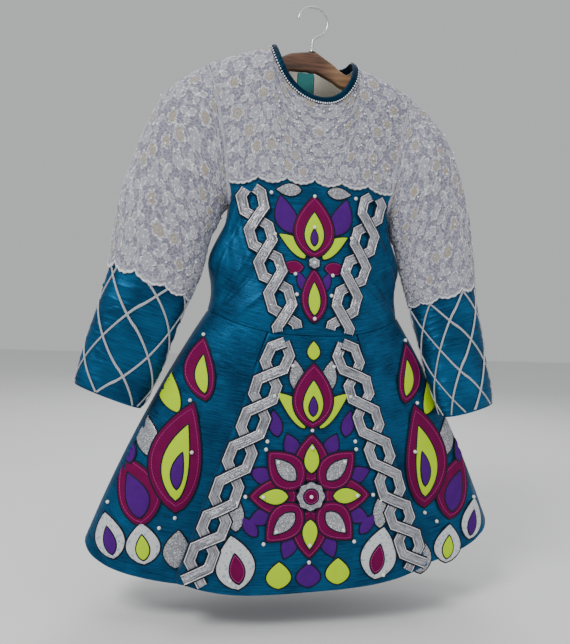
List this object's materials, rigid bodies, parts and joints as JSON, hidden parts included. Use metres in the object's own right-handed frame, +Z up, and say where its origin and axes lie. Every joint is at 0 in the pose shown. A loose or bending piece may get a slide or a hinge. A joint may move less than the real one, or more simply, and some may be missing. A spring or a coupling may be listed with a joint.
{
  "type": "girl's irish dance dress on a hanger",
  "caption": "Long-sleeved irish dance dress on a wooden hanger: teal bodice and stiff flared skirt, white lace yoke and sleeves, silver interlace bands, and a back zip with a hinged pull tab.",
  "frame": {"origin": "the point inside the hanger's hook where a rail bears, at the top of the hook's inner curve", "axes": "+Z up towards the rail; -Y is the dress's front; +X is the right-hand side of a viewer who faces the front"},
  "size_m": [0.6144, 0.1837, 0.8241],
  "materials": {
    "teal_satin": "satin",
    "lace_white": "matte",
    "lining_cream": "matte",
    "navy_band": "satin",
    "silver_cloth": "satin",
    "zip_teal": "matte",
    "zip_metal": "satin",
    "hanger_wood": "satin",
    "hook_steel": "satin"
  },
  "bodies": {
    "dress": {"bodice_back_left": "teal_satin", "bodice_back_right": "teal_satin", "bodice_braid_left_a": "silver_cloth", "bodice_braid_left_b": "silver_cloth", "bodice_braid_right_a": "silver_cloth", "bodice_braid_right_b": "silver_cloth", "bodice_front": "teal_satin", "hanger_hook": "hook_steel", "hanger_wood": "hanger_wood", "lining_back_left": "lining_cream", "lining_back_right": "lining_cream", "neck_binding": "navy_band", "skirt_back_left": "teal_satin", "skirt_back_right": "teal_satin", "skirt_braid_left_a": "silver_cloth", "skirt_braid_left_b": "silver_cloth", "skirt_braid_right_a": "silver_cloth", "skirt_braid_right_b": "silver_cloth", "skirt_front_panel": "teal_satin", "skirt_side_left": "teal_satin", "skirt_side_right": "teal_satin", "sleeve_lower_left": "teal_satin", "sleeve_lower_right": "teal_satin", "sleeve_upper_left": "lace_white", "sleeve_upper_right": "lace_white", "yoke_back_left": "lace_white", "yoke_back_right": "lace_white", "yoke_front": "lace_white", "zip_slider": "zip_metal", "zip_tape": "zip_teal"},
    "pull_tab": {"zip_pull": "zip_metal"}
  },
  "joints": [
    {"name": "zip_pull_hinge", "type": "hinge", "parent": "dress", "child": "pull_tab", "pos_m": [0, 0.04798, -0.096], "axis": [1, 0, 0], "range_deg": [0, 150]}
  ]
}
